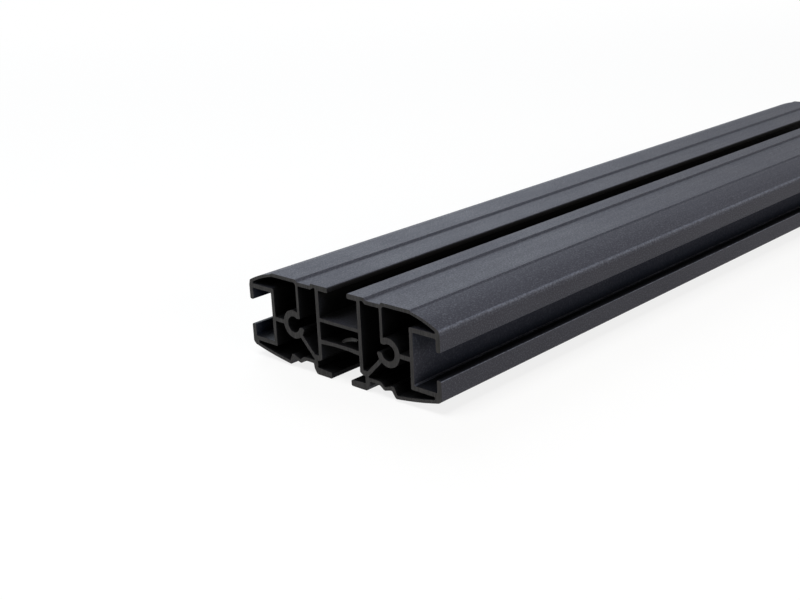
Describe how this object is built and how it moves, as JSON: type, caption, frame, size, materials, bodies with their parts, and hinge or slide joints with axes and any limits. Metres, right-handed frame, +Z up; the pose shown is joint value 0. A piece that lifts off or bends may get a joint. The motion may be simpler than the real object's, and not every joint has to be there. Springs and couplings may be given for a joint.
{
  "type": "roof rack crossbar",
  "caption": "Straight black aluminium crossbar extrusion with a T-slot on the top, bottom and each side, webbed inside, with screw ports in its open ends.",
  "frame": {"origin": "middle of the bar's length and width, on the plane of the undersides of the two bottom lips, on which the bar stands", "axes": "+X along the bar, +Y across it towards one side slot, +Z up through the top slot"},
  "size_m": [0.355, 0.08, 0.029],
  "materials": {
    "powder_coat": "fine-textured black powder coat on extruded aluminium"
  },
  "bodies": {
    "root": {"crossbar_extrusion": "powder_coat"}
  },
  "joints": []
}
